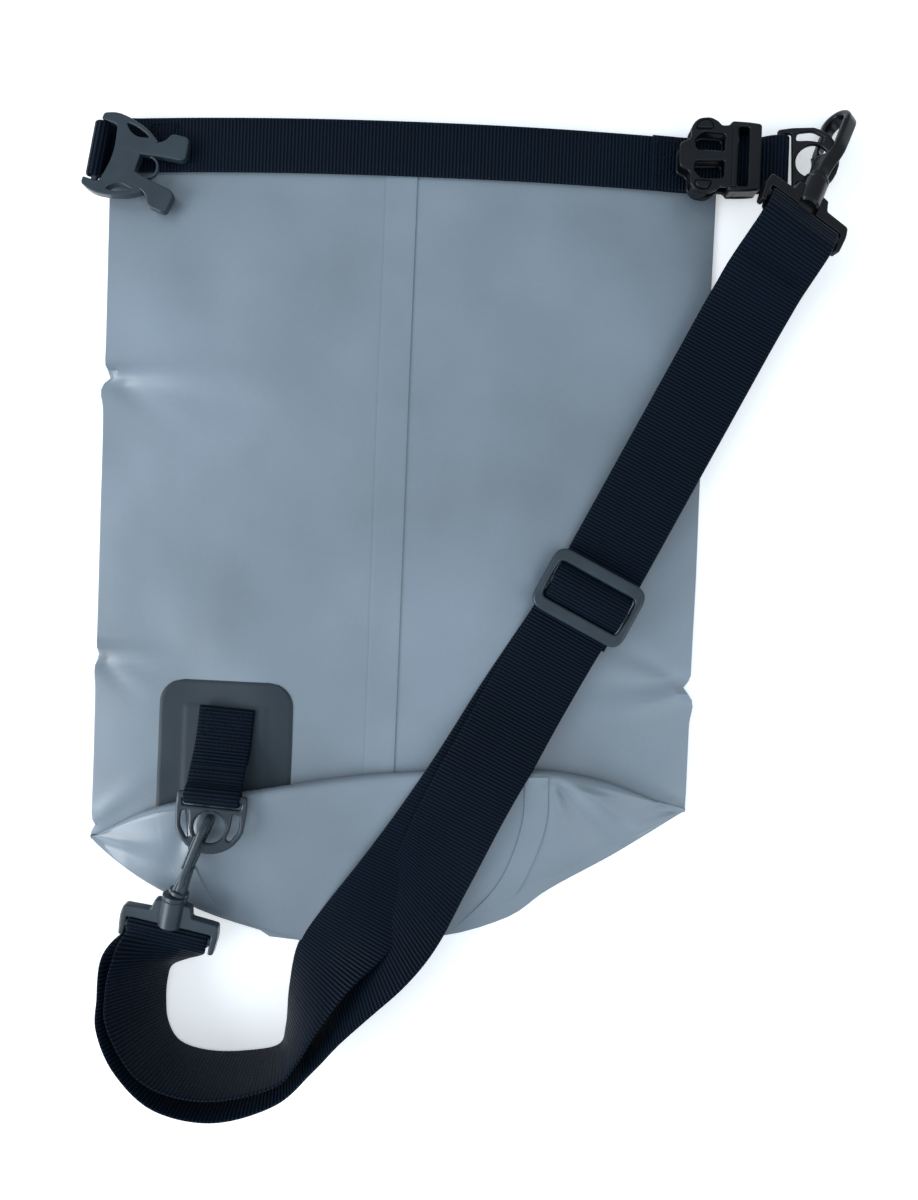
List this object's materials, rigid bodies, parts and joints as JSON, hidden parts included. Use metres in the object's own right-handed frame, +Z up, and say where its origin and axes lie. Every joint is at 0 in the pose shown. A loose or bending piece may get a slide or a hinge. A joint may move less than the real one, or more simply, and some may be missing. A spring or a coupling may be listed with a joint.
{
  "type": "dry bag",
  "caption": "Roll-top dry bag lying empty with its bottom folded up, a stiffened webbing mouth band with a side-release buckle, and a clip-on shoulder strap with D-rings and swivel hooks.",
  "frame": {"origin": "on the ground under the middle of the bag's back, half way between its side edges", "axes": "+Z up from the back the bag lies on, +Y along the bag towards its mouth, +X to the bag's right"},
  "size_m": [0.3497, 0.4518, 0.036],
  "materials": {
    "body_fabric": "grey PVC-coated fabric, soft satin gloss",
    "patch_fabric": "dark slate PVC-coated fabric, satin",
    "webbing": "ribbed black polypropylene webbing",
    "thread": "black bonded thread",
    "stiffener_plastic": "natural sheet plastic",
    "dark_plastic": "black moulded plastic, semi-gloss",
    "grey_plastic": "very dark grey moulded plastic, semi-gloss"
  },
  "bodies": {
    "bag": {"body_tube": "body_fabric", "body_weld_strip": "body_fabric", "bottom_disc": "body_fabric", "bottom_seam_tape": "body_fabric", "bottom_gusset_left": "body_fabric", "bottom_gusset_right": "body_fabric", "patch": "patch_fabric", "tab_anchor": "patch_fabric", "tab_webbing": "webbing", "tab_stitching": "thread", "strap_upper_run": "webbing", "strap_under_layer": "webbing", "strap_return_layer": "webbing", "strap_inner_loop": "webbing", "strap_outer_loop": "webbing", "strap_base_loop": "webbing", "lower_swivel_base": "grey_plastic"},
    "mouth": {"mouth_tube": "body_fabric", "mouth_weld_strip": "body_fabric", "front_stiffener": "stiffener_plastic", "back_stiffener": "stiffener_plastic", "back_hem": "body_fabric", "band_webbing": "webbing", "band_overlap_layer": "webbing", "band_stitching": "thread", "left_tail": "webbing", "male_loop": "webbing", "ring_tail": "webbing", "female_loop": "webbing", "strap_end_loop": "webbing", "strap_end_stitching": "thread", "upper_swivel_base": "dark_plastic"},
    "male_buckle": {"male_buckle": "grey_plastic"},
    "prong_left": {"prong_left": "grey_plastic"},
    "prong_right": {"prong_right": "grey_plastic"},
    "female_buckle": {"female_buckle": "dark_plastic"},
    "upper_d_ring": {"upper_d_ring": "dark_plastic"},
    "lower_d_ring": {"lower_d_ring": "dark_plastic"},
    "upper_hook": {"upper_hook": "dark_plastic"},
    "upper_gate": {"upper_gate": "dark_plastic"},
    "lower_hook": {"lower_hook": "grey_plastic"},
    "lower_gate": {"lower_gate": "grey_plastic"},
    "slider": {"slider_frame": "grey_plastic", "slider_wrap": "webbing"}
  },
  "joints": [
    {"name": "roll_top", "type": "hinge", "parent": "bag", "child": "mouth", "pos_m": [0, 0.126, 0.0155], "axis": [1, 0, 0], "range_deg": [0, 110]},
    {"name": "male_buckle_fold", "type": "hinge", "parent": "mouth", "child": "male_buckle", "pos_m": [-0.1423, 0.1665, 0.0105], "axis": [-0.2823, -0.9593, 0], "range_deg": [0, 160]},
    {"name": "prong_left_flex", "type": "hinge", "parent": "male_buckle", "child": "prong_left", "pos_m": [-0.12417, 0.16825, 0.0105], "axis": [0, 0, -1], "range_deg": [0, 8], "stiffness_Nm_per_rad": 0.05},
    {"name": "prong_right_flex", "type": "hinge", "parent": "male_buckle", "child": "prong_right", "pos_m": [-0.12801, 0.15521, 0.0105], "axis": [0, 0, 1], "range_deg": [0, 8], "stiffness_Nm_per_rad": 0.05},
    {"name": "female_buckle_fold", "type": "hinge", "parent": "mouth", "child": "female_buckle", "pos_m": [0.1525, 0.1725, 0.00865], "axis": [0, 1, 0], "range_deg": [0, 50]},
    {"name": "upper_ring_swing", "type": "hinge", "parent": "mouth", "child": "upper_d_ring", "pos_m": [0.1683, 0.174, 0.00715], "axis": [-0.042, 0.9991, 0], "range_deg": [-1, 1]},
    {"name": "lower_ring_swing", "type": "hinge", "parent": "bag", "child": "lower_d_ring", "pos_m": [-0.0773, -0.1226, 0.0218], "axis": [0.9976, -0.0698, 0], "range_deg": [-2, 2]},
    {"name": "upper_hook_swivel", "type": "hinge", "parent": "mouth", "child": "upper_hook", "pos_m": [0.17823, 0.15541, 0.02022], "axis": [0.3685, 0.8802, -0.299], "range_deg": [-3, 3]},
    {"name": "lower_hook_swivel", "type": "hinge", "parent": "bag", "child": "lower_hook", "pos_m": [-0.09463, -0.17451, 0.01777], "axis": [0.3615, 0.9219, 0.1392], "range_deg": [-8, 8]},
    {"name": "upper_gate_press", "type": "hinge", "parent": "upper_hook", "child": "upper_gate", "pos_m": [0.1833, 0.17549, 0.00864], "axis": [0.7211, -0.4737, -0.5057], "range_deg": [0, 2], "stiffness_Nm_per_rad": 0.02},
    {"name": "lower_gate_press", "type": "hinge", "parent": "lower_hook", "child": "lower_gate", "pos_m": [-0.08602, -0.15256, 0.01522], "axis": [0.931, -0.365, 0], "range_deg": [0, 4], "stiffness_Nm_per_rad": 0.02},
    {"name": "slider_travel", "type": "slide", "parent": "bag", "child": "slider", "axis": [0.45, 0.893, 0], "range_m": [-0.022, 0.045]}
  ]
}
